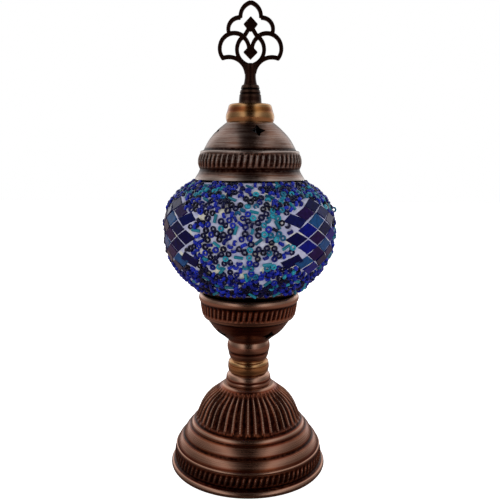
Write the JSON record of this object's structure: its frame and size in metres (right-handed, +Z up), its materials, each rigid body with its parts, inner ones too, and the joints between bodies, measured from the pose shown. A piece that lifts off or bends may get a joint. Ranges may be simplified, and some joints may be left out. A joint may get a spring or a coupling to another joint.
{
  "type": "mosaic glass table lamp",
  "caption": "Table lamp with a round mosaic glass globe between a vented cup and cap in antique copper, on turned stem rings and a fluted domed base, under an openwork finial.",
  "frame": {"origin": "centre of the bottom face of the felt pad", "axes": "+Z up through stem, globe and finial; -Y is the front, where the openwork of the finial faces; +Y is the side of the cable inlet"},
  "size_m": [0.1278, 0.1278, 0.349],
  "materials": {
    "antique_copper": "spun sheet brass, copper plated, darkened and brushed back",
    "bright_copper": "turned, golden copper, lathe-brushed",
    "cast_dark": "cast, dark brown patina",
    "mosaic": "glossy glass beads and tiles in pale plaster",
    "globe_glass": "blown clear glass",
    "bulb_glass": "clear thin glass",
    "plated_brass": "bright pressed sheet",
    "zinc_steel": "zinc plated",
    "spring_steel": "rolled strip",
    "cast_iron": "rough cast",
    "bakelite": "moulded, semi-gloss",
    "porcelain": "glazed",
    "rubber": "matte",
    "felt": "pressed wool felt"
  },
  "bodies": {
    "base": {"felt_pad": "felt", "base_plate": "zinc_steel", "ballast_ring": "cast_iron", "base_shell": "antique_copper", "cable_grommet": "rubber", "threaded_tube": "zinc_steel", "neck_washer": "zinc_steel", "neck_nut": "zinc_steel", "stem_ring_lower": "antique_copper", "stem_ring_middle": "bright_copper", "stem_ring_upper": "antique_copper", "lower_cup": "antique_copper", "cup_washer": "zinc_steel", "cup_nut": "zinc_steel", "globe_gasket": "rubber", "holder_cap": "bakelite", "holder_body": "bakelite", "holder_insulator": "porcelain", "terminal_screws": "plated_brass", "centre_contact": "plated_brass", "screw_shell": "plated_brass"},
    "bulb_tip": {"bulb_contact": "plated_brass", "bulb_insulator": "bakelite"},
    "bulb": {"bulb_cap": "plated_brass", "bulb_glass": "bulb_glass", "bulb_stem": "bulb_glass", "filament": "zinc_steel"},
    "globe": {"globe_glass": "globe_glass", "mosaic_layer": "mosaic"},
    "cap": {"cap_shell": "antique_copper", "cap_collar": "bright_copper", "cap_stud": "zinc_steel", "cap_washer": "zinc_steel", "spring_clip": "spring_steel", "cap_nut": "zinc_steel"},
    "finial_cone": {"finial_cone": "cast_dark"},
    "finial": {"finial": "cast_dark"}
  },
  "joints": [
    {"name": "globe_lift", "type": "slide", "parent": "base", "child": "globe", "axis": [0, 0, 1], "range_m": [0, 0.09]},
    {"name": "cap_lift", "type": "slide", "parent": "globe", "child": "cap", "axis": [0, 0, 1], "range_m": [0, 0.03]},
    {"name": "bulb_rise", "type": "slide", "parent": "base", "child": "bulb_tip", "axis": [0, 0, 1], "range_m": [0, 0.0113]},
    {"name": "bulb_turn", "type": "hinge", "parent": "bulb_tip", "child": "bulb", "pos_m": [0, 0, 0.13], "axis": [0, 0, 1], "range_deg": [0, 1440]},
    {"name": "finial_rise", "type": "slide", "parent": "cap", "child": "finial_cone", "axis": [0, 0, 1], "range_m": [0, 0.0048]},
    {"name": "finial_turn", "type": "hinge", "parent": "finial_cone", "child": "finial", "pos_m": [0, 0, 0.3], "axis": [0, 0, 1], "range_deg": [0, 2160]}
  ],
  "couplings": [
    {"joint": "bulb_rise", "follows": "bulb_turn", "m_per_rad": 0.00044882},
    {"joint": "finial_rise", "follows": "finial_turn", "m_per_rad": 0.00012732}
  ]
}
